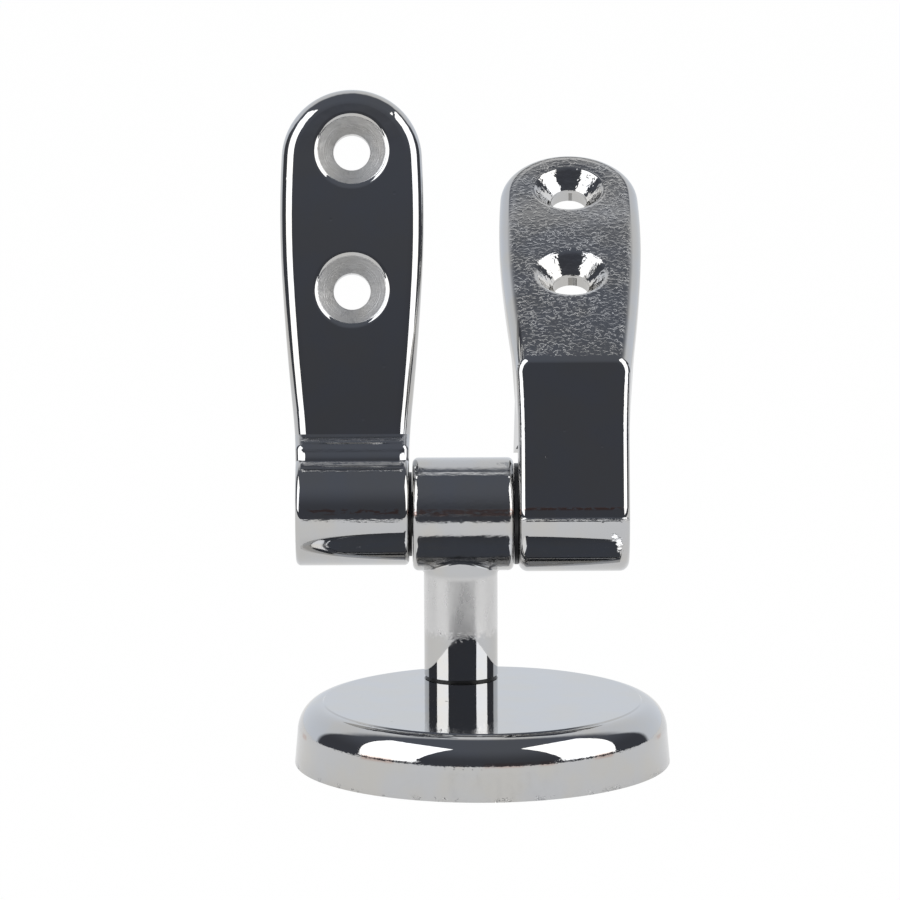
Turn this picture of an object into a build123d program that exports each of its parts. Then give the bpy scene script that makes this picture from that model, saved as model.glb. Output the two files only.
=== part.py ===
from build123d import *
from math import atan2, cos, degrees, radians, sin
import os

os.makedirs("parts", exist_ok=True)

# Toilet seat hinge: a round base that bolts to the pan, a T-shaped post that swivels in it,
# and two arms on the post's cross pin, one for the lid and one for the seat.
# Millimetres, +X along the hinge pin, +Y to the back, +Z up.
# The origin is the centre of the base's underside.

# Base casting
base_dia = 49.8
skirt_top_dia = 49.1
skirt_height = 4.05
table_dia = 42.0
table_step = 0.15
table_ledge = 0.2
base_height = 8.25
base_wall = 1.8
cavity_draft = 12.0
rib_thickness = 1.6
rib_count = 6
rib_rise = 1.2
pan_boss_gap = 1.87
pan_tap_dia = 6.8
pan_tap_roof = 1.4
gasket_thickness = 1.0
gasket_gap = 0.1

# Post, which stands inside the base's rim at the back and swivels there
post_inset = 9.53
post_heading = 100.4
pillar_dia = 9.9
pillar_blend = 0.5
axis_height = 30.45
barrel_dia = 15.2
barrel_length = 13.55
barrel_shift = 0.35
barrel_round = 0.8

# Swivel under the post
spigot_dia = 7.0
swivel_gap = 0.05
bush_wall = 0.9
bush_flange = 0.3
bush_flange_dia = 9.6
swivel_boss_dia = 14.0
swivel_boss_depth = 3.4
spring_height = 0.7
spring_thickness = 0.5
spring_dia = 12.0
spring_gap = 0.15
washer_dia = 13.0
washer_thickness = 0.8
screw_dia = 4.0
screw_length = 10.0
screw_head_dia = 7.6
screw_head_height = 2.0
screw_head_round = 0.6
screw_socket = 2.5
screw_socket_depth = 1.2
screw_gap = 0.02

# Hinge pin and the arms' bushes
pin_dia = 6.0
pin_end_gap = 0.5
pin_chamfer = 0.5
pin_groove_width = 1.4
pin_groove_depth = 0.3
pin_groove_inset = 3.0
fixed_gap = 0.02
running_gap = 0.05
arm_bush_wall = 1.1
arm_bore_depth = 12.4
flange_gap = 0.1
lid_gap = 0.45
lid_flange_dia = 11.3
seat_gap = 0.6
seat_flange_dia = 13.6

# What both arms share
plate_thickness = 4.3
paddle_width = 19.36
tip_to_crown = 17.0
crown_radius = 150.0
crown_angle = 3.25
flank_radius = 400.0
flank_angle = 2.3
neck_blend = 80.0
hole_dia = 5.0
sink_dia = 9.9
sink_angle = 90.0
sink_round = 0.9
hole_edge = 8.45
hole_pitch = 18.95
front_round = 2.15
back_round = 0.6

# Lid arm: leaned back from upright, with a thicker pad where the plate leaves its knuckle
lid_knuckle_dia = 14.9
lid_knuckle_width = 15.2
lid_knuckle_rise = 0.6
lid_lean = 16.0
lid_tip = 57.6
lid_plate_front = 2.2
neck_pad_front = 4.0
neck_pad_top = 8.8
pad_round = 1.0
knuckle_round = 0.7

# Seat arm: a shank flush with the front of its knuckle, its inner flank drafted wider to the back,
# then a plate bent back from its ridge
seat_knuckle_dia = 15.5
seat_knuckle_width = 14.9
seat_lean = 16.0
seat_bend = 44.6
shank_length = 20.0
shank_thickness = 6.5
plate_length = 46.2
bend_inner_round = 3.0
shank_round = 1.3
flank_spread = 0.58
flank_top_spread = 0.22
flank_foot = 8.1
flank_top = 19.0
flank_draft = 6.3

# Places worked out from the sizes above
post_offset = base_dia / 2 - post_inset
pan_boss_dia = 2 * (post_offset - washer_dia / 2 - pan_boss_gap)
post_x = post_offset * cos(radians(post_heading))
post_y = post_offset * sin(radians(post_heading))
barrel_centre = post_x + barrel_shift
barrel_left = barrel_centre - barrel_length / 2
barrel_right = barrel_centre + barrel_length / 2
lid_inner = barrel_left - lid_gap
seat_inner = barrel_right + seat_gap
lid_centre = lid_inner - lid_knuckle_width / 2
seat_centre = seat_inner + seat_knuckle_width / 2
pin_reach = arm_bore_depth - pin_end_gap
pin_left = lid_inner - pin_reach
pin_right = seat_inner + pin_reach
bush_bore_dia = pin_dia + 2 * running_gap
bush_outer_dia = bush_bore_dia + 2 * arm_bush_wall
arm_bore_dia = bush_outer_dia + 2 * fixed_gap
roof_under = base_height - base_wall
swivel_bore_dia = spigot_dia + 2 * swivel_gap
swivel_bush_dia = swivel_bore_dia + 2 * bush_wall
swivel_boss_under = base_height - swivel_boss_depth
post_foot = base_height + bush_flange
spigot_end = swivel_boss_under - spring_height
washer_under = spigot_end - washer_thickness
screw_hole_dia = screw_dia + 2 * screw_gap


def arm_frame(centre, lean):
    """Plane across an arm at its pin: X along the pin, Y up the arm, Z out of its front."""
    tilt = radians(lean)
    return Plane(origin=(centre, post_y, axis_height), x_dir=(1, 0, 0), z_dir=(0, -cos(tilt), sin(tilt)))


def side_frame(centre, lean):
    """Plane along an arm's side at its pin: X up the arm, Y out of its front."""
    tilt = radians(lean)
    return Plane(origin=(centre, post_y, axis_height), x_dir=(0, sin(tilt), cos(tilt)), z_dir=(1, 0, 0))


def pin_plane(x):
    """Plane square to the hinge pin at x."""
    return Plane(origin=(x, post_y, axis_height), x_dir=(0, 1, 0), z_dir=(1, 0, 0))


def arm_plan(plane, tip, root, root_width):
    """Outline of an arm seen square to its plate, from its root to the round paddle end."""
    half = paddle_width / 2
    root_half = root_width / 2
    crown = (half, tip - tip_to_crown)
    tip_radius = (2 * crown_radius * half - half**2 - tip_to_crown**2) / (2 * (crown_radius - tip_to_crown))
    meet = degrees(atan2(tip_to_crown - tip_radius, crown_radius - half))
    with BuildSketch(plane) as plan:
        with BuildLine():
            shoulder = JernArc(crown, (0, 1), crown_radius, meet)
            JernArc(shoulder @ 1, shoulder % 1, tip_radius, 90 - meet)
            upper = JernArc(crown, (0, -1), crown_radius, -crown_angle)
            lower = JernArc(upper @ 1, upper % 1, flank_radius, -flank_angle)
            heading = lower % 1
            neck = (lower @ 1).Y + ((lower @ 1).X - root_half) * heading.Y / -heading.X
            Polyline(lower @ 1, (root_half, neck), (root_half, root), (0, root))
            mirror(about=Plane.YZ)
        make_face()
        fillet(plan.vertices().filter_by(lambda corner: abs(corner.Y - neck) < 0.01), neck_blend)
    return plan.sketch


def screw_places(tip):
    """The two countersunk holes, measured back from the tip of the paddle."""
    return [(0, tip - hole_edge), (0, tip - hole_edge - hole_pitch)]


def knuckle(inner, reach, diameter, rise, lean, rim):
    """Cylinder with rounded rims from an arm's inner face, its centre raised up the arm."""
    tilt = radians(lean)
    centre = (inner, post_y + rise * sin(tilt), axis_height + rise * cos(tilt))
    with BuildPart() as barrel_end:
        with BuildSketch(Plane(origin=centre, x_dir=(0, 1, 0), z_dir=(1, 0, 0))):
            Circle(diameter / 2)
        extrude(amount=reach)
        fillet(barrel_end.edges().filter_by(GeomType.CIRCLE), rim)
    return barrel_end.part


def paddle_rims(arm, way):
    """Rounded end edges of an arm's paddle, from its back face to its front face."""
    arcs = arm.edges().filter_by(GeomType.CIRCLE)
    return arcs.filter_by(lambda edge: edge.length > paddle_width).sort_by(way)


def sink_screws(plane, tip):
    """Countersunk holes cut from the plane of an arm's front face."""
    with Locations(plane):
        with Locations(*screw_places(tip)):
            CounterSinkHole(hole_dia / 2, sink_dia / 2, counter_sink_angle=sink_angle)


def rim_edges(arm):
    """Edges where an arm's countersinks meet its front face."""
    circles = arm.edges().filter_by(GeomType.CIRCLE)
    return circles.filter_by(lambda edge: abs(edge.radius - sink_dia / 2) < 0.01)


def revolve_on_pin(points):
    """Solid turned about the hinge pin from (distance along the pin, radius) points."""
    with BuildPart() as turned:
        with BuildSketch(Plane(origin=(0, post_y, axis_height), x_dir=(1, 0, 0), z_dir=(0, -1, 0))):
            with BuildLine():
                Polyline(*points, close=True)
            make_face()
        revolve(axis=Axis((0, post_y, axis_height), (1, 0, 0)))
    return turned.part


def bush_points(face, away, flange_dia, gap):
    """Half section of an arm's bush: face is the knuckle's inner face, away points into it."""
    end = face + away * pin_reach
    groove = end - away * pin_groove_inset
    half_rib = pin_groove_width / 2 - running_gap
    bore = bush_bore_dia / 2
    rib = bore - pin_groove_depth + running_gap
    flange_face = face - away * (gap - flange_gap)
    return [
        (flange_face, bore),
        (groove - away * half_rib, bore),
        (groove - away * half_rib, rib),
        (groove + away * half_rib, rib),
        (groove + away * half_rib, bore),
        (end, bore),
        (end, bush_outer_dia / 2),
        (face, bush_outer_dia / 2),
        (face, flange_dia / 2),
        (flange_face, flange_dia / 2),
    ]


# Base: drafted skirt, rounded shoulder and flat table, hollow underneath with its bosses and ribs
with BuildPart() as base:
    shoulder_foot = skirt_top_dia / 2
    shoulder_top = table_dia / 2 + table_ledge
    shoulder_height = base_height - table_step
    with BuildSketch(Plane.XZ):
        with BuildLine():
            Polyline((0, base_height), (0, 0), (base_dia / 2, 0), (shoulder_foot, skirt_height))
            EllipticalCenterArc(
                (shoulder_top, skirt_height),
                shoulder_foot - shoulder_top,
                shoulder_height - skirt_height,
                start_angle=0,
                arc_size=90,
            )
            Polyline((shoulder_top, shoulder_height), (table_dia / 2, base_height), (0, base_height))
        make_face()
    revolve(axis=Axis.Z)
    with BuildSketch():
        Circle(base_dia / 2 - base_wall)
    extrude(amount=roof_under, taper=cavity_draft, mode=Mode.SUBTRACT)
    with BuildSketch():
        Circle(pan_boss_dia / 2)
    extrude(amount=roof_under)
    with BuildSketch(Plane(origin=(post_x, post_y, swivel_boss_under))):
        Circle(swivel_boss_dia / 2)
    extrude(amount=roof_under - swivel_boss_under)
    rib_reach = base_dia / 2 - base_wall
    with BuildSketch(Plane.XY.offset(gasket_thickness + rib_rise)):
        for rib in range(1, rib_count):
            with PolarLocations(rib_reach / 2, 1, start_angle=post_heading + rib * 360 / rib_count):
                Rectangle(rib_reach, rib_thickness)
    extrude(amount=roof_under - gasket_thickness - rib_rise)
    with BuildSketch():
        Circle(pan_tap_dia / 2)
    extrude(amount=base_height - pan_tap_roof, mode=Mode.SUBTRACT)
    with Locations((post_x, post_y, base_height)):
        Hole(swivel_bush_dia / 2 + fixed_gap)
base.part.label = "base"

# Gasket: rubber ring between the base's rim and its boss, flush with both underneath
with BuildPart() as gasket:
    with BuildSketch():
        Circle(base_dia / 2 - base_wall - gasket_gap)
        Circle(pan_boss_dia / 2 + gasket_gap, mode=Mode.SUBTRACT)
    extrude(amount=gasket_thickness, taper=cavity_draft)
gasket.part.label = "gasket"

# Swivel bush: sleeve in the base with a thin flange that the post's foot turns on
with BuildPart() as swivel_bush:
    with BuildSketch(Plane(origin=(post_x, post_y, swivel_boss_under))):
        Circle(swivel_bush_dia / 2)
    extrude(amount=swivel_boss_depth)
    with BuildSketch(Plane(origin=(post_x, post_y, base_height))):
        Circle(bush_flange_dia / 2)
    extrude(amount=bush_flange)
    with Locations((post_x, post_y, post_foot)):
        Hole(swivel_bore_dia / 2)
swivel_bush.part.label = "swivel_bush"

# Post: pillar and cross barrel in one casting, with a spigot below for the swivel
with BuildPart() as post:
    with BuildSketch(pin_plane(barrel_left)):
        Circle(barrel_dia / 2)
    extrude(amount=barrel_length)
    fillet(post.edges().filter_by(GeomType.CIRCLE), barrel_round)
    with BuildSketch(Plane(origin=(post_x, post_y, post_foot))):
        Circle(pillar_dia / 2)
    extrude(amount=axis_height - post_foot)
    neck_edges = post.edges().filter_by(GeomType.BSPLINE).group_by(Axis.Z)[0]
    fillet(neck_edges, pillar_blend)
    with BuildSketch(Plane(origin=(post_x, post_y, spigot_end))):
        Circle(spigot_dia / 2)
    extrude(amount=post_foot - spigot_end)
    with BuildSketch(Plane(origin=(post_x, post_y, spigot_end))):
        Circle(screw_hole_dia / 2)
    extrude(amount=screw_length, mode=Mode.SUBTRACT)
    with BuildSketch(pin_plane(barrel_left)):
        Circle(pin_dia / 2 + fixed_gap)
    extrude(amount=barrel_length, mode=Mode.SUBTRACT)
post.part.label = "post"

# Disc spring: coned washer that presses the swivel together and gives it its friction
with BuildPart() as disc_spring:
    inner = spigot_dia / 2 + spring_gap
    cone = spring_height - spring_thickness
    with BuildSketch(Plane(origin=(post_x, post_y, spigot_end), x_dir=(1, 0, 0), z_dir=(0, -1, 0))):
        with BuildLine():
            Polyline(
                (inner, cone),
                (spring_dia / 2, 0),
                (spring_dia / 2, spring_thickness),
                (inner, spring_height),
                close=True,
            )
        make_face()
    revolve(axis=Axis((post_x, post_y, 0), (0, 0, 1)))
disc_spring.part.label = "disc_spring"

# Retaining washer, held against the end of the spigot
with BuildPart() as retaining_washer:
    with BuildSketch(Plane(origin=(post_x, post_y, washer_under))):
        Circle(washer_dia / 2)
        Circle(screw_hole_dia / 2, mode=Mode.SUBTRACT)
    extrude(amount=washer_thickness)
retaining_washer.part.label = "retaining_washer"

# Post screw: cap head under the washer, shank up into the post
with BuildPart() as post_screw:
    head_under = washer_under - screw_head_height
    with BuildSketch(Plane(origin=(post_x, post_y, head_under))):
        Circle(screw_head_dia / 2)
    extrude(amount=screw_head_height)
    fillet(post_screw.edges().group_by(Axis.Z)[0], screw_head_round)
    with BuildSketch(Plane(origin=(post_x, post_y, washer_under))):
        Circle(screw_dia / 2)
    extrude(amount=screw_length)
    with BuildSketch(Plane(origin=(post_x, post_y, head_under))):
        RegularPolygon(screw_socket / 2, 6, major_radius=False)
    extrude(amount=screw_socket_depth, mode=Mode.SUBTRACT)
post_screw.part.label = "post_screw"

# Hinge pin: pressed through the barrel, with a snap groove near each end for the bushes
with BuildPart() as hinge_pin:
    add(
        revolve_on_pin(
            [
                (pin_left, 0),
                (pin_left, pin_dia / 2 - pin_chamfer),
                (pin_left + pin_chamfer, pin_dia / 2),
                (pin_right - pin_chamfer, pin_dia / 2),
                (pin_right, pin_dia / 2 - pin_chamfer),
                (pin_right, 0),
            ]
        )
    )
    for groove in (pin_left + pin_groove_inset, pin_right - pin_groove_inset):
        with BuildSketch(pin_plane(groove - pin_groove_width / 2)):
            Circle(pin_dia / 2)
            Circle(pin_dia / 2 - pin_groove_depth, mode=Mode.SUBTRACT)
        extrude(amount=pin_groove_width, mode=Mode.SUBTRACT)
hinge_pin.part.label = "hinge_pin"

# Bushes: nylon sleeves in the arms, each with a flange in the gap beside the barrel
with BuildPart() as lid_bush:
    add(revolve_on_pin(bush_points(lid_inner, -1, lid_flange_dia, lid_gap)))
lid_bush.part.label = "lid_bush"

with BuildPart() as seat_bush:
    add(revolve_on_pin(bush_points(seat_inner, 1, seat_flange_dia, seat_gap)))
seat_bush.part.label = "seat_bush"

# Lid arm: flat plate, a thicker neck pad that drops to it at a ramp, and a knuckle at its foot
with BuildPart() as lid_arm:
    lid_plane = arm_frame(lid_centre, lid_lean)
    front_way = Axis(lid_plane.origin, lid_plane.z_dir)
    lid_plan = arm_plan(lid_plane, lid_tip, 0, lid_knuckle_width)
    extrude(lid_plan, amount=lid_plate_front)
    extrude(lid_plan, amount=lid_plate_front - plate_thickness)
    fillet(paddle_rims(lid_arm, front_way)[-1], front_round)
    fillet(paddle_rims(lid_arm, front_way)[0], back_round)
    sink_screws(lid_plane.offset(lid_plate_front), lid_tip)
    fillet(rim_edges(lid_arm), sink_round)
    with BuildPart(mode=Mode.PRIVATE) as neck_pad:
        ramp_foot = neck_pad_top + neck_pad_front - lid_plate_front
        with BuildSketch(side_frame(lid_centre, lid_lean)):
            Polygon(
                (0, 0),
                (ramp_foot, 0),
                (ramp_foot, lid_plate_front),
                (neck_pad_top, neck_pad_front),
                (0, neck_pad_front),
                align=None,
            )
        extrude(amount=paddle_width, both=True)
        extrude(lid_plan, amount=lid_knuckle_dia, both=True, mode=Mode.INTERSECT)
        pad_edges = neck_pad.edges().group_by(front_way)
        fillet(pad_edges[-1] + pad_edges[-2], pad_round)
    add(neck_pad.part)
    add(knuckle(lid_inner, -lid_knuckle_width, lid_knuckle_dia, lid_knuckle_rise, lid_lean, knuckle_round))
    with BuildSketch(pin_plane(lid_inner)):
        Circle(arm_bore_dia / 2)
    extrude(amount=-arm_bore_depth, mode=Mode.SUBTRACT)
lid_arm.part.label = "lid_arm"

# Seat arm: shank flush with the knuckle's front, then the plate bent back from its ridge, and the
# drafted flank beside the barrel
with BuildPart() as seat_arm:
    seat_plane = arm_frame(seat_centre, seat_lean)
    bend = radians(seat_bend)
    shank_front = seat_knuckle_dia / 2
    shank_back = shank_front - shank_thickness
    run = (cos(bend), -sin(bend))
    out = (sin(bend), cos(bend))
    tip_front = (shank_length + plate_length * run[0], shank_front + plate_length * run[1])
    tip_back = (tip_front[0] - plate_thickness * out[0], tip_front[1] - plate_thickness * out[1])
    inner_run = (shank_thickness - plate_thickness * out[1]) / out[0]
    inner_corner = (shank_length - plate_thickness * out[0] + inner_run * run[0], shank_back)
    with BuildSketch(side_frame(seat_centre, seat_lean)) as seat_profile:
        Polygon(
            (0, shank_front),
            (shank_length, shank_front),
            tip_front,
            tip_back,
            inner_corner,
            (0, shank_back),
            align=None,
        )
        fillet(seat_profile.vertices().sort_by_distance(inner_corner)[0], bend_inner_round)
    extrude(amount=paddle_width, both=True)
    seat_plate = arm_frame(seat_centre, seat_lean + seat_bend)
    ridge_up = shank_length * cos(bend) - shank_front * sin(bend)
    seat_tip = ridge_up + plate_length
    seat_plan = arm_plan(seat_plate, seat_tip, -seat_knuckle_dia, seat_knuckle_width)
    extrude(seat_plan, amount=2 * shank_length, both=True, mode=Mode.INTERSECT)
    plate_way = Axis(seat_plate.origin, seat_plate.z_dir)
    shank_way = Axis(seat_plane.origin, seat_plane.z_dir)
    seat_face = shank_length * sin(bend) + shank_front * cos(bend)
    fillet(paddle_rims(seat_arm, plate_way)[-1], front_round)
    fillet(paddle_rims(seat_arm, plate_way)[0], back_round)
    front_edges = seat_arm.edges().group_by(shank_way)[-1].sort_by(Axis.Z)
    fillet(front_edges[1:], shank_round)
    with BuildSketch(seat_plane.offset(shank_back)):
        with Locations((-seat_knuckle_width / 2, 0)):
            Polygon(
                (shank_round, flank_foot),
                (shank_round, flank_top),
                (-flank_top_spread, flank_top),
                (-flank_spread, flank_foot),
                align=None,
            )
    extrude(amount=shank_thickness - shank_round, taper=flank_draft)
    add(knuckle(seat_inner, seat_knuckle_width, seat_knuckle_dia, 0, seat_lean, shank_round))
    with BuildSketch(pin_plane(seat_inner)):
        Circle(arm_bore_dia / 2)
    extrude(amount=arm_bore_depth, mode=Mode.SUBTRACT)
    sink_screws(seat_plate.offset(seat_face), seat_tip)
    fillet(rim_edges(seat_arm), sink_round)
seat_arm.part.label = "seat_arm"

sub_parts = [
    base,
    gasket,
    swivel_bush,
    post,
    disc_spring,
    retaining_washer,
    post_screw,
    hinge_pin,
    lid_bush,
    seat_bush,
    lid_arm,
    seat_arm,
]
for sub_part in sub_parts:
    export_step(sub_part.part, "parts/" + sub_part.part.label + ".step")
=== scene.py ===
import math

import bpy
from mathutils import Matrix, Vector

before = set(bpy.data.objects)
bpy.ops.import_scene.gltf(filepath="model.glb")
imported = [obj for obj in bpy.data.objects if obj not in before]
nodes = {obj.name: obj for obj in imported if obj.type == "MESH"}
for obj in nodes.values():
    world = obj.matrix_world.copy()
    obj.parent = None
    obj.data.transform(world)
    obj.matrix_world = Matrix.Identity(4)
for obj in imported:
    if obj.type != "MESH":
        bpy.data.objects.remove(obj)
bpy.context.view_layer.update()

# Places on the part, in metres, that the finishes follow
PIN_Y = 0.015118
PIN_Z = 0.03045
POST_X = -0.002775
LID_X = -0.017245
SEAT_X = 0.012405
ARM_LEAN = math.radians(16.0)
SEAT_PLATE_LEAN = math.radians(60.6)
SEAT_RIDGE = 0.0088
SEAT_PLATE_TIP = 0.055
SEAT_PLATE_FACE = 0.01956
LID_HOLES = (0.04915, 0.0302)
SEAT_HOLES = (0.04655, 0.0276)
SINK_RADIUS = 0.00495
PAD_TOP = 0.0088
KNUCKLE_HALF = 0.0066

# Where a mask starts and ends, in metres, up a piece, back from its axis or out from a hole
LID_TIP_UP = (0.0485, 0.0525)
LID_TIP_BACK = (-0.0006, 0.0)
LID_SINK_OUT = (SINK_RADIUS * 0.9, SINK_RADIUS * 0.96)
LID_SINK_BACK = (0.0004, 0.0008)
LID_FRONT = (-0.002, -0.0035)
LID_PAD_FOOT_UP = (0.0062, 0.0068)
LID_PAD_HEAD_UP = (0.007, PAD_TOP)
SEAT_GRAIN_UP = (SEAT_RIDGE + 0.0003, SEAT_RIDGE + 0.001)
SEAT_RIDGE_UP = (SEAT_RIDGE - 0.0003, SEAT_RIDGE)
SEAT_SHELF_UP = (0.037, 0.045)
SEAT_FACE_BACK = (-SEAT_PLATE_FACE + 0.00001, -SEAT_PLATE_FACE + 0.0002)
SEAT_SINK_OUT = (SINK_RADIUS * 0.9, SINK_RADIUS)
SEAT_SINK_BACK = (-0.0169, -0.0166)
BARREL_FRONT = (-0.004, -0.006)
PILLAR_UP = (-0.0085, -0.0075)
PILLAR_SATIN_UP = (-0.0165, -0.015)
SKIRT_UP = (0.0035, 0.0043)
FOOT_UP = (0.0002, 0.0008)

# Bands across a piece's front, in metres up it: low, high and the softness of their borders
LID_TURN = (-0.0017, -0.0012, 0.0002)
LID_STAIN = (-0.0007, 0.0, 0.0002)
LID_SEAM = (0.00515, 0.0055, 0.00015)
LID_LIP = (0.0061, 0.00665, 0.0001)
LID_LINE = (PAD_TOP - 0.0007, PAD_TOP - 0.0002, 0.0002)
LID_CREST = (PAD_TOP + 0.0007, PAD_TOP + 0.0013, 0.00015)
SEAT_STRIP = (-0.00175, -0.00135, 0.0001)
SEAT_LINE = (-0.00025, 0.00005, 0.0002)
POST_LINE = (0.0011, 0.002, 0.0002)
POST_CREST = (0.0059, 0.0063, 0.0002)
BASE_LINE = (0.0045, 0.0051, 0.0002)

# Lifted flakes at the seat knuckle's outer corner, in metres: across, up and radius
FLAKES = ((0.0054, -0.0038, 0.0005), (0.006, -0.0045, 0.0006), (0.0061, -0.0053, 0.0004))
FLAKE_RAGGED = 3.0
FLAKE_RISE = 1.1
FLAKE_SIDE = 0.7

# Heights of the relief, in metres
SWELL = 9e-6
PEEL = 1.2e-6
SPECK = 1.2e-5
COPPER_EDGE = 2.5e-5
LID_HEIGHT = {"grit": 7e-5, "rings": 1.2e-4, "line": 6e-5, "crest": 2e-4, "seam": 3e-4,
              "turn": 1.3e-4, "pad": 3e-4, "tip": 7e-5}
SEAT_HEIGHT = {"shelf": -1.6e-4, "dashes": 2.4e-5, "grain": 2e-5, "sink": 1.5e-4, "strip": 1.5e-4}
POST_HEIGHT = {"grit": 8e-6, "holes": -6e-5, "mottle": 2.5e-5, "pits": -2e-5, "crest": 1.6e-4}
BASE_HEIGHT = {"chips": -8e-5, "specks": -3e-5, "skirt": 4e-6}
STEEL_HEIGHT = 4e-6

# How far the arms' faces curve: the height in metres over the square of the distance
LID_CROWN = -1.0
LID_CROWN_MIDDLE = 0.02
SEAT_SAG = -0.6

# Roughness of the plating, and what the worn or cast places add to it
POLISHED = 0.02
SMEARED = 0.07
ROUGHEST = 0.9
ROUGH = {"sink": 0.45, "scuff": 0.25, "dull": 0.6, "copper": 0.15, "cast": 0.1, "pillar": 0.22,
         "barrel": 0.03, "skirt": 0.05, "chips": 0.25}

# How much satin or bare copper a place shows, and how far satin smears a highlight
SINK_SATIN = 0.25
EDGE_SATIN = 0.6
SATIN_PULL = 0.7
COPPER_SHARE = {"lid": 0.7, "seat": 0.9, "post": 0.6, "base": 0.4}

# Colours, as linear light
CHROME = (0.525, 0.53, 0.54, 1)
CHROME_WARM = (0.54, 0.53, 0.51, 1)
SATIN = (0.67, 0.665, 0.66, 1)
COPPER = (0.4, 0.19, 0.13, 1)
STEEL = (0.42, 0.42, 0.42, 1)
STEEL_STAINED = (0.3, 0.29, 0.28, 1)
WHITE = (1, 1, 1, 1)
FLOOR = (0.9, 0.9, 0.9, 1)
PAPER_LOW = (0.84, 0.88, 0.94, 1)
PAPER_HIGH = (0.84, 0.85, 0.87, 1)
ROOM_LEVEL = (0.066, 0.07, 0.083, 1)
ROOM_STEEP = (0.125, 0.136, 0.163, 1)


def new_material(name):
    """An empty node material with its output."""
    material = bpy.data.materials.new(name)
    material.use_nodes = True
    tree = material.node_tree
    tree.nodes.clear()
    output = tree.nodes.new("ShaderNodeOutputMaterial")
    return material, tree, output


def feed(tree, socket, value):
    """Gives a socket a link or a plain value."""
    if isinstance(value, bpy.types.NodeSocket):
        tree.links.new(value, socket)
    else:
        socket.default_value = value


def calc(tree, operation, first, second=0.0, clamp=False):
    """A maths node of two values."""
    made = tree.nodes.new("ShaderNodeMath")
    made.operation = operation
    made.use_clamp = clamp
    feed(tree, made.inputs[0], first)
    feed(tree, made.inputs[1], second)
    return made.outputs[0]


def product(tree, *values):
    """All the values multiplied."""
    result = values[0]
    for value in values[1:]:
        result = calc(tree, "MULTIPLY", result, value)
    return result


def total(tree, *values):
    """All the values added."""
    result = values[0]
    for value in values[1:]:
        result = calc(tree, "ADD", result, value)
    return result


def span(tree, value, start, end, low=0.0, high=1.0):
    """A smooth step from low at start to high at end."""
    made = tree.nodes.new("ShaderNodeMapRange")
    made.interpolation_type = "SMOOTHSTEP"
    for name, given in (("Value", value), ("From Min", start), ("From Max", end),
                        ("To Min", low), ("To Max", high)):
        feed(tree, made.inputs[name], given)
    return made.outputs["Result"]


def below(tree, value, start, end):
    """One up to start, and nothing from end on."""
    return span(tree, value, start, end, 1.0, 0.0)


def band(tree, value, low, high, soft):
    """One between low and high, and nothing outside, with soft borders."""
    rise = span(tree, value, low - soft, low + soft)
    return product(tree, rise, below(tree, value, high - soft, high + soft))


def local_place(tree, origin, lean):
    """Object coordinates seen from an arm: X along the pin, Y to its back, Z up the arm."""
    place = tree.nodes.new("ShaderNodeTexCoord")
    turned = tree.nodes.new("ShaderNodeMapping")
    turned.vector_type = "TEXTURE"
    turned.inputs["Location"].default_value = origin
    turned.inputs["Rotation"].default_value = (-lean, 0, 0)
    tree.links.new(place.outputs["Object"], turned.inputs["Vector"])
    return turned.outputs["Vector"]


def parts_of(tree, vector):
    """The three components of a vector."""
    made = tree.nodes.new("ShaderNodeSeparateXYZ")
    tree.links.new(vector, made.inputs[0])
    return made.outputs[0], made.outputs[1], made.outputs[2]


def vector_of(tree, *values):
    """A vector of up to three components."""
    made = tree.nodes.new("ShaderNodeCombineXYZ")
    for socket, value in zip(made.inputs, values):
        feed(tree, socket, value)
    return made.outputs[0]


def stretched(tree, vector, factors):
    """The vector with each component scaled, for grain that runs one way."""
    made = tree.nodes.new("ShaderNodeMapping")
    made.inputs["Scale"].default_value = factors
    tree.links.new(vector, made.inputs["Vector"])
    return made.outputs["Vector"]


def noise(tree, vector, scale, detail=2.0, roughness=0.5, distortion=0.0):
    """Cloudy noise between about 0.25 and 0.75."""
    made = tree.nodes.new("ShaderNodeTexNoise")
    made.inputs["Scale"].default_value = scale
    made.inputs["Detail"].default_value = detail
    made.inputs["Roughness"].default_value = roughness
    made.inputs["Distortion"].default_value = distortion
    tree.links.new(vector, made.inputs["Vector"])
    return made.outputs[0]


def streaks(tree, place, shorter, scale):
    """Noise drawn out along the pin, for the broken edges of worn lines."""
    return noise(tree, stretched(tree, place, (shorter, 1.0, 1.0)), scale, detail=3.0, roughness=0.6)


def pits(tree, vector, scale, size, share):
    """Small round pits, one in a share of the cells: one inside a pit and nothing outside."""
    cells = tree.nodes.new("ShaderNodeTexVoronoi")
    cells.inputs["Scale"].default_value = scale
    tree.links.new(vector, cells.inputs["Vector"])
    chance = parts_of(tree, cells.outputs["Color"])[0]
    near = below(tree, cells.outputs["Distance"], size * 0.4, size)
    return product(tree, near, calc(tree, "LESS_THAN", chance, share))


def reach(tree, across, up, side, high):
    """The distance, in the arm's plane, from the place at side and high."""
    offset = vector_of(tree, calc(tree, "SUBTRACT", across, side), calc(tree, "SUBTRACT", up, high))
    length = tree.nodes.new("ShaderNodeVectorMath")
    length.operation = "LENGTH"
    tree.links.new(offset, length.inputs[0])
    return length.outputs["Value"]


def front_middle(tree, across, back, start, end):
    """One on the front of an arm's knuckle, away from its ends."""
    middle = band(tree, across, -KNUCKLE_HALF, KNUCKLE_HALF, 0.0004)
    return product(tree, middle, span(tree, back, start, end))


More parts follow.
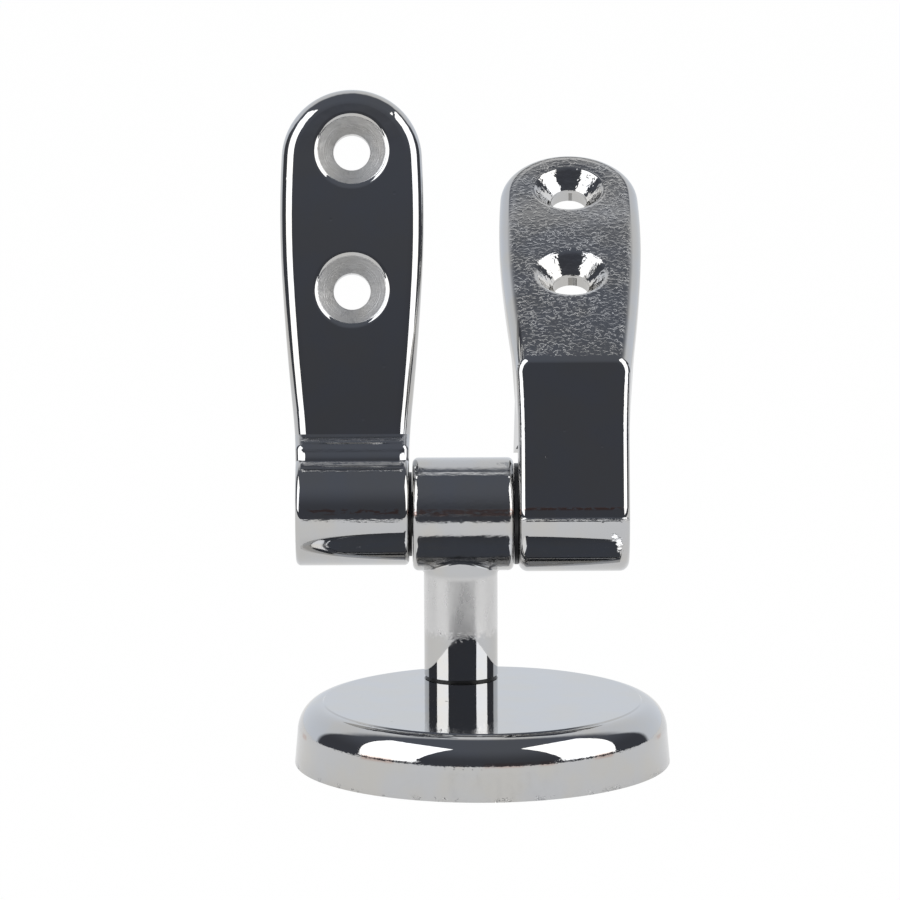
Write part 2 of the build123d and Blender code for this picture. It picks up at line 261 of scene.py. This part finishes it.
def flake(tree, across, up, crumbs, side, high, size):
    """A small ragged flake at side and high that faces up and sideways: its height in metres."""
    ragged = product(tree, calc(tree, "SUBTRACT", crumbs, 0.5), size * FLAKE_RAGGED)
    away = total(tree, reach(tree, across, up, side, high), ragged)
    inside = below(tree, away, size * 0.7, size)
    fall = product(tree, calc(tree, "SUBTRACT", up, high), -FLAKE_RISE)
    lean = product(tree, calc(tree, "SUBTRACT", across, side), -FLAKE_SIDE)
    return product(tree, inside, total(tree, fall, lean))


def blend_colour(tree, factor, first, second):
    """A mix of two colours."""
    made = tree.nodes.new("ShaderNodeMix")
    made.data_type = "RGBA"
    feed(tree, made.inputs["Factor"], factor)
    feed(tree, made.inputs["A"], first)
    feed(tree, made.inputs["B"], second)
    return made.outputs["Result"]


def relief(tree, height):
    """A bumped normal from a height in metres."""
    bump = tree.nodes.new("ShaderNodeBump")
    bump.inputs["Strength"].default_value = 1.0
    bump.inputs["Distance"].default_value = 1.0
    feed(tree, bump.inputs["Height"], height)
    return bump.outputs["Normal"]


def chrome(name, origin, lean, special):
    """Polished plated casting. special takes the tree and the local place, and returns the extra
    roughness, the extra height in metres, the share of copper, and the share of satin or None."""
    material, tree, output = new_material(name)
    place = local_place(tree, origin, lean)
    extra_rough, extra_height, copper, satin = special(tree, place)
    cloud = noise(tree, place, scale=160.0, detail=3.0)
    smear = noise(tree, stretched(tree, place, (1.0, 1.0, 0.35)), scale=900.0, detail=4.0, roughness=0.6)
    swell = product(tree, noise(tree, place, scale=230.0, detail=1.0), SWELL)
    peel = product(tree, noise(tree, place, scale=1500.0), PEEL)
    rough = total(tree, span(tree, smear, 0.4, 0.75, POLISHED, SMEARED), extra_rough)
    plating = blend_colour(tree, span(tree, cloud, start=0.35, end=0.65), CHROME, CHROME_WARM)
    shader = tree.nodes.new("ShaderNodeBsdfPrincipled")
    shader.inputs["Metallic"].default_value = 1.0
    if satin is not None:
        plating = blend_colour(tree, satin, plating, SATIN)
        feed(tree, shader.inputs["Anisotropic"], product(tree, satin, SATIN_PULL))
        feed(tree, shader.inputs["Tangent"], vector_of(tree, 0.0, 0.0, 1.0))
    feed(tree, shader.inputs["Base Color"], blend_colour(tree, copper, plating, COPPER))
    feed(tree, shader.inputs["Roughness"], calc(tree, "MINIMUM", rough, ROUGHEST))
    feed(tree, shader.inputs["Normal"], relief(tree, total(tree, swell, peel, extra_height)))
    tree.links.new(shader.outputs[0], output.inputs["Surface"])
    return material


def lid_detail(tree, place):
    """Matte turned countersinks, rough and satin lines about the neck pad, a stain and a rough line
    across the knuckle's front, ripples at the tip and a few specks."""
    across, back, up = parts_of(tree, place)
    tip = product(tree, span(tree, up, *LID_TIP_UP), below(tree, back, *LID_TIP_BACK))
    cones, rings = [], []
    for hole in LID_HOLES:
        length = reach(tree, across, up, 0.0, hole)
        inside = below(tree, length, *LID_SINK_OUT)
        cones.append(inside)
        rings.append(product(tree, inside, noise(tree, vector_of(tree, length), scale=5000.0)))
    outside = below(tree, back, *LID_SINK_BACK)
    cone = product(tree, outside, total(tree, *cones))
    turned = product(tree, outside, total(tree, *rings))
    grit = noise(tree, place, scale=2600.0, detail=4.0, roughness=0.7)
    scratched = stretched(tree, place, (0.5, 1.0, 1.0))
    scratches = noise(tree, scratched, scale=1100.0, detail=4.0, roughness=0.7)
    scuffs = span(tree, scratches, start=0.35, end=0.65)
    ridge = streaks(tree, place, 0.3, 2400.0)
    specks = pits(tree, place, scale=700.0, size=0.2, share=0.05)
    front = front_middle(tree, across, back, *LID_FRONT)
    crest = band(tree, up, *LID_CREST)
    seam = band(tree, up, *LID_SEAM)
    lip = band(tree, up, *LID_LIP)
    edges = product(tree, total(tree, crest, seam), EDGE_SATIN)
    dull = product(tree, front, total(tree, lip, edges))
    rough = total(
        tree,
        product(tree, cone, total(tree, product(tree, scuffs, ROUGH["scuff"]), ROUGH["sink"])),
        product(tree, dull, span(tree, ridge, start=0.3, end=0.55), ROUGH["dull"]),
    )
    from_middle = calc(tree, "SUBTRACT", calc(tree, "MAXIMUM", up, PAD_TOP), LID_CROWN_MIDDLE)
    pad_head = span(tree, up, *LID_PAD_HEAD_UP, LID_HEIGHT["pad"], 0.0)
    pad = product(tree, span(tree, up, *LID_PAD_FOOT_UP), pad_head)
    height = total(
        tree,
        product(tree, from_middle, from_middle, LID_CROWN),
        product(tree, cone, grit, LID_HEIGHT["grit"]),
        product(tree, turned, LID_HEIGHT["rings"]),
        product(tree, front, band(tree, up, *LID_LINE), ridge, LID_HEIGHT["line"]),
        product(tree, front, crest, ridge, LID_HEIGHT["crest"]),
        product(tree, front, seam, ridge, LID_HEIGHT["seam"]),
        product(tree, front, band(tree, up, *LID_TURN), ridge, LID_HEIGHT["turn"]),
        product(tree, front, pad),
        product(tree, tip, noise(tree, place, scale=420.0), LID_HEIGHT["tip"]),
        product(tree, specks, -SPECK),
    )
    stain = product(tree, front, band(tree, up, *LID_STAIN))
    copper = product(tree, stain, span(tree, ridge, start=0.5, end=0.6), COPPER_SHARE["lid"])
    return rough, height, copper, total(tree, product(tree, cone, SINK_SATIN), dull)


def seat_detail(tree, place):
    """Cast grain and rough countersinks on the bent plate, a copper line, a rough strip and flakes
    on the knuckle's front, and a few specks."""
    across, back, up = parts_of(tree, place)
    plate_place = local_place(tree, (SEAT_X, PIN_Y, PIN_Z), SEAT_PLATE_LEAN)
    plate_back, plate_up = parts_of(tree, plate_place)[1:]
    face = below(tree, plate_back, *SEAT_FACE_BACK)
    cast = product(tree, span(tree, plate_up, *SEAT_GRAIN_UP), face)
    sinks = []
    for hole in SEAT_HOLES:
        length = reach(tree, across, plate_up, 0.0, hole)
        sinks.append(below(tree, length, *SEAT_SINK_OUT))
    shallow = below(tree, plate_back, *SEAT_SINK_BACK)
    sink = product(tree, total(tree, *sinks), shallow, calc(tree, "SUBTRACT", 1.0, face))
    drawn = stretched(tree, plate_place, (0.8, 1.0, 1.0))
    grain = noise(tree, drawn, scale=2000.0, distortion=0.5)
    patches = span(tree, noise(tree, plate_place, scale=420.0), start=0.35, end=0.65, low=0.4, high=1.4)
    dashes = span(tree, grain, start=0.5, end=0.64)
    fall = calc(tree, "SUBTRACT", SEAT_PLATE_TIP, plate_up)
    drop = calc(tree, "SUBTRACT", product(tree, fall, fall), (SEAT_PLATE_TIP - SEAT_RIDGE) ** 2)
    sag = product(tree, span(tree, plate_up, *SEAT_RIDGE_UP), drop, SEAT_SAG)
    shelf = span(tree, plate_up, *SEAT_SHELF_UP, 0.0, SEAT_HEIGHT["shelf"])
    strip = product(tree, span(tree, back, *BARREL_FRONT), band(tree, up, *SEAT_STRIP))
    crumbs = streaks(tree, place, 0.4, 2600.0)
    front = front_middle(tree, across, back, *BARREL_FRONT)
    line = product(tree, front, band(tree, up, *SEAT_LINE))
    specks = pits(tree, place, scale=800.0, size=0.18, share=0.05)
    rough = total(tree, product(tree, cast, ROUGH["cast"]), product(tree, line, ROUGH["copper"]))
    height = total(
        tree,
        sag,
        product(tree, cast, shelf),
        product(tree, cast, patches, dashes, SEAT_HEIGHT["dashes"]),
        product(tree, cast, grain, SEAT_HEIGHT["grain"]),
        product(tree, sink, noise(tree, plate_place, scale=700.0, detail=3.0), SEAT_HEIGHT["sink"]),
        product(tree, line, crumbs, COPPER_EDGE),
        product(tree, strip, crumbs, SEAT_HEIGHT["strip"]),
        *[flake(tree, across, up, crumbs, *place_and_size) for place_and_size in FLAKES],
        product(tree, specks, -SPECK),
    )
    copper = product(tree, line, span(tree, crumbs, start=0.4, end=0.52), COPPER_SHARE["seat"])
    return rough, height, copper, None


def post_detail(tree, place):
    """Satin pillar with pits, and a mottled and pitted barrel with a copper line across its front and
    a rough crest."""
    back, up = parts_of(tree, place)[1:]
    pillar = below(tree, up, *PILLAR_UP)
    on_barrel = calc(tree, "SUBTRACT", 1.0, pillar)
    grit = noise(tree, place, scale=2200.0, detail=4.0, roughness=0.65)
    border = product(tree, calc(tree, "SUBTRACT", grit, 0.5), 0.004)
    satin = product(tree, pillar, span(tree, total(tree, up, border), *PILLAR_SATIN_UP))
    holes = product(tree, pits(tree, place, scale=700.0, size=0.17, share=0.07), satin)
    mottle = noise(tree, place, scale=1300.0, detail=3.0, roughness=0.6)
    dents = pits(tree, place, scale=500.0, size=0.2, share=0.08)
    line = product(tree, band(tree, up, *POST_LINE), span(tree, back, *BARREL_FRONT))
    crumbs = streaks(tree, place, 0.35, 2600.0)
    rough = total(
        tree,
        product(tree, satin, ROUGH["pillar"]),
        product(tree, line, ROUGH["copper"]),
        product(tree, on_barrel, ROUGH["barrel"]),
    )
    height = total(
        tree,
        product(tree, satin, grit, POST_HEIGHT["grit"]),
        product(tree, holes, POST_HEIGHT["holes"]),
        product(tree, on_barrel, mottle, POST_HEIGHT["mottle"]),
        product(tree, on_barrel, dents, POST_HEIGHT["pits"]),
        product(tree, line, crumbs, COPPER_EDGE),
        product(tree, band(tree, up, *POST_CREST), crumbs, POST_HEIGHT["crest"]),
    )
    copper = product(tree, line, span(tree, crumbs, start=0.4, end=0.55), COPPER_SHARE["post"])
    return rough, height, copper, satin


def base_detail(tree, place):
    """Bright table and shoulder, a rough copper line under the shoulder, a duller skirt, chips along
    the foot and a few specks."""
    up = parts_of(tree, place)[2]
    line = band(tree, up, *BASE_LINE)
    skirt = below(tree, up, *SKIRT_UP)
    wear = noise(tree, place, scale=500.0, detail=4.0, roughness=0.7)
    chips = product(tree, below(tree, up, *FOOT_UP), span(tree, wear, start=0.54, end=0.6))
    specks = pits(tree, place, scale=420.0, size=0.1, share=0.05)
    crumbs = noise(tree, place, scale=2000.0, detail=3.0, roughness=0.6)
    patches = span(tree, noise(tree, place, scale=160.0), start=0.52, end=0.6)
    rough = total(tree, product(tree, skirt, ROUGH["skirt"]), product(tree, chips, ROUGH["chips"]))
    height = total(
        tree,
        product(tree, chips, BASE_HEIGHT["chips"]),
        product(tree, specks, BASE_HEIGHT["specks"]),
        product(tree, skirt, crumbs, BASE_HEIGHT["skirt"]),
        product(tree, line, crumbs, COPPER_EDGE),
    )
    return rough, height, product(tree, line, patches, COPPER_SHARE["base"]), None


def moulded(name, colour, second, roughness, grain, depth):
    """Plain moulded plastic or rubber with a fine grain and slight colour drift."""
    rougher = roughness + 0.15
    material, tree, output = new_material(name)
    place = tree.nodes.new("ShaderNodeTexCoord").outputs["Object"]
    fine = noise(tree, place, scale=grain, detail=4.0, roughness=0.6)
    drift = noise(tree, place, scale=grain * 0.1)
    shader = tree.nodes.new("ShaderNodeBsdfPrincipled")
    feed(tree, shader.inputs["Base Color"], blend_colour(tree, drift, colour, second))
    feed(tree, shader.inputs["Roughness"], span(tree, fine, 0.3, 0.7, roughness, rougher))
    feed(tree, shader.inputs["Normal"], relief(tree, product(tree, fine, depth)))
    tree.links.new(shader.outputs[0], output.inputs["Surface"])
    return material


def turned_steel(name):
    """Steel with fine turning marks and slight staining."""
    material, tree, output = new_material(name)
    place = tree.nodes.new("ShaderNodeTexCoord").outputs["Object"]
    marks = noise(tree, stretched(tree, place, (1.0, 0.08, 0.08)), scale=6000.0)
    stain = noise(tree, place, scale=300.0, detail=3.0)
    shader = tree.nodes.new("ShaderNodeBsdfPrincipled")
    shader.inputs["Metallic"].default_value = 1.0
    feed(tree, shader.inputs["Base Color"], blend_colour(tree, stain, STEEL, STEEL_STAINED))
    rough = span(tree, marks, start=0.3, end=0.7, low=0.25, high=0.4)
    feed(tree, shader.inputs["Roughness"], rough)
    feed(tree, shader.inputs["Normal"], relief(tree, product(tree, marks, STEEL_HEIGHT)))
    tree.links.new(shader.outputs[0], output.inputs["Surface"])
    return material


def dress(material, *names):
    """The material on every slot of the named CAD nodes."""
    for name in names:
        for slot in nodes[name].material_slots:
            slot.material = material


def make_floor():
    """Plain pale table top that ends a little way in front of the part."""
    front, rear, side = -0.27, 1.5, 1.2
    shown, mirrored = 0.995, 0.73
    mesh = bpy.data.meshes.new("floor")
    corners = [(-side, front, 0), (side, front, 0), (side, rear, 0), (-side, rear, 0)]
    mesh.from_pydata(corners, [], [(0, 1, 2, 3)])
    floor = bpy.data.objects.new("floor", mesh)
    bpy.context.scene.collection.objects.link(floor)
    material, tree, output = new_material("floor_white")
    rays = tree.nodes.new("ShaderNodeLightPath").outputs
    plain = total(tree, rays["Is Camera Ray"], rays["Is Transmission Ray"])
    seen = total(tree, product(tree, plain, shown), product(tree, rays["Is Glossy Ray"], mirrored))
    paper = tree.nodes.new("ShaderNodeBsdfDiffuse")
    paper.inputs["Color"].default_value = FLOOR
    white = tree.nodes.new("ShaderNodeEmission")
    white.inputs["Color"].default_value = WHITE
    mix = tree.nodes.new("ShaderNodeMixShader")
    tree.links.new(seen, mix.inputs[0])
    tree.links.new(paper.outputs[0], mix.inputs[1])
    tree.links.new(white.outputs[0], mix.inputs[2])
    tree.links.new(mix.outputs[0], output.inputs["Surface"])
    mesh.materials.append(material)


def make_world():
    """White as the camera sees it, pale paper behind the part and a dim room all round."""
    world = bpy.data.worlds.new("studio")
    bpy.context.scene.world = world
    world.use_nodes = True
    tree = world.node_tree
    tree.nodes.clear()
    way = tree.nodes.new("ShaderNodeTexCoord").outputs["Generated"]
    across, deep, high = parts_of(tree, way)
    tilt, flare = math.radians(18.0), 0.6
    forward = product(tree, deep, math.cos(tilt))
    behind = calc(tree, "SUBTRACT", forward, product(tree, high, math.sin(tilt)))
    width = calc(tree, "SUBTRACT", calc(tree, "ABSOLUTE", across), product(tree, deep, flare))
    within = below(tree, width, start=0.45, end=0.55)
    backdrop = product(tree, span(tree, behind, start=0.0, end=0.28), within)
    paper = blend_colour(tree, span(tree, high, start=0.1, end=0.9), PAPER_LOW, PAPER_HIGH)
    steep = span(tree, calc(tree, "ABSOLUTE", high), start=0.25, end=0.9)
    dim = blend_colour(tree, steep, ROOM_LEVEL, ROOM_STEEP)
    room = blend_colour(tree, backdrop, dim, paper)
    rays = tree.nodes.new("ShaderNodeLightPath").outputs
    plain = calc(tree, "ADD", rays["Is Camera Ray"], rays["Is Transmission Ray"], clamp=True)
    shade = tree.nodes.new("ShaderNodeBackground")
    feed(tree, shade.inputs["Color"], blend_colour(tree, plain, room, WHITE))
    output = tree.nodes.new("ShaderNodeOutputWorld")
    tree.links.new(shade.outputs[0], output.inputs["Surface"])


def softbox(name, azimuth, elevation, wide, tall, level):
    """Area lamp aimed at the part. Azimuth is from the front, positive to the right, in degrees."""
    turn, rise, away = math.radians(azimuth), math.radians(elevation), 0.7
    aim = Vector((0.0, 0.0, 0.03))
    back = Vector((math.sin(turn) * math.cos(rise), -math.cos(turn) * math.cos(rise), math.sin(rise)))
    data = bpy.data.lights.new(name, "AREA")
    data.shape = "RECTANGLE"
    data.size = wide
    data.size_y = tall
    data.energy = level * math.pi * wide * tall
    lamp = bpy.data.objects.new(name, data)
    lamp.location = aim + back * away
    lamp.rotation_mode = "QUATERNION"
    lamp.rotation_quaternion = (-back).to_track_quat("-Z", "Y")
    bpy.context.scene.collection.objects.link(lamp)


def make_camera():
    """The photograph's viewpoint, fitted to the part's outline."""
    place = (-0.004144, -0.87772, 0.200141)
    right = Vector((0.999991, -0.000752, -0.004174))
    ahead = Vector((0.0, 0.984134, -0.177428))
    up = right.cross(ahead)
    data = bpy.data.cameras.new("camera")
    data.sensor_width = 36.0
    data.lens = 270.56
    data.clip_start = 0.01
    data.clip_end = 20.0
    camera = bpy.data.objects.new("camera", data)
    turned = Matrix((right, up, -ahead)).transposed().to_4x4()
    camera.matrix_world = Matrix.Translation(place) @ turned
    bpy.context.scene.collection.objects.link(camera)
    bpy.context.scene.camera = camera


dress(chrome("chrome_base", (0, 0, 0), 0.0, base_detail), "base")
dress(chrome("chrome_post", (POST_X, PIN_Y, PIN_Z), 0.0, post_detail), "post")
dress(chrome("chrome_lid_arm", (LID_X, PIN_Y, PIN_Z), ARM_LEAN, lid_detail), "lid_arm")
dress(chrome("chrome_seat_arm", (SEAT_X, PIN_Y, PIN_Z), ARM_LEAN, seat_detail), "seat_arm")
rubber = moulded("black_rubber", colour=(0.02, 0.02, 0.02, 1), second=(0.03, 0.03, 0.03, 1),
                 roughness=0.6, grain=3000.0, depth=1.5e-5)
nylon = moulded("black_nylon", colour=(0.012, 0.012, 0.013, 1), second=(0.02, 0.02, 0.021, 1),
                roughness=0.32, grain=2500.0, depth=4e-6)
dress(rubber, "gasket")
dress(nylon, "lid_bush", "seat_bush", "swivel_bush")
dress(turned_steel("turned_steel"), "hinge_pin", "disc_spring", "retaining_washer", "post_screw")

make_world()
make_floor()
for name, azimuth in (("softbox_left", -62.0), ("softbox_right", 70.0)):
    softbox(name, azimuth, elevation=33.0, wide=0.55, tall=0.76, level=2.1)
make_camera()
bpy.context.scene.view_settings.view_transform = "Standard"
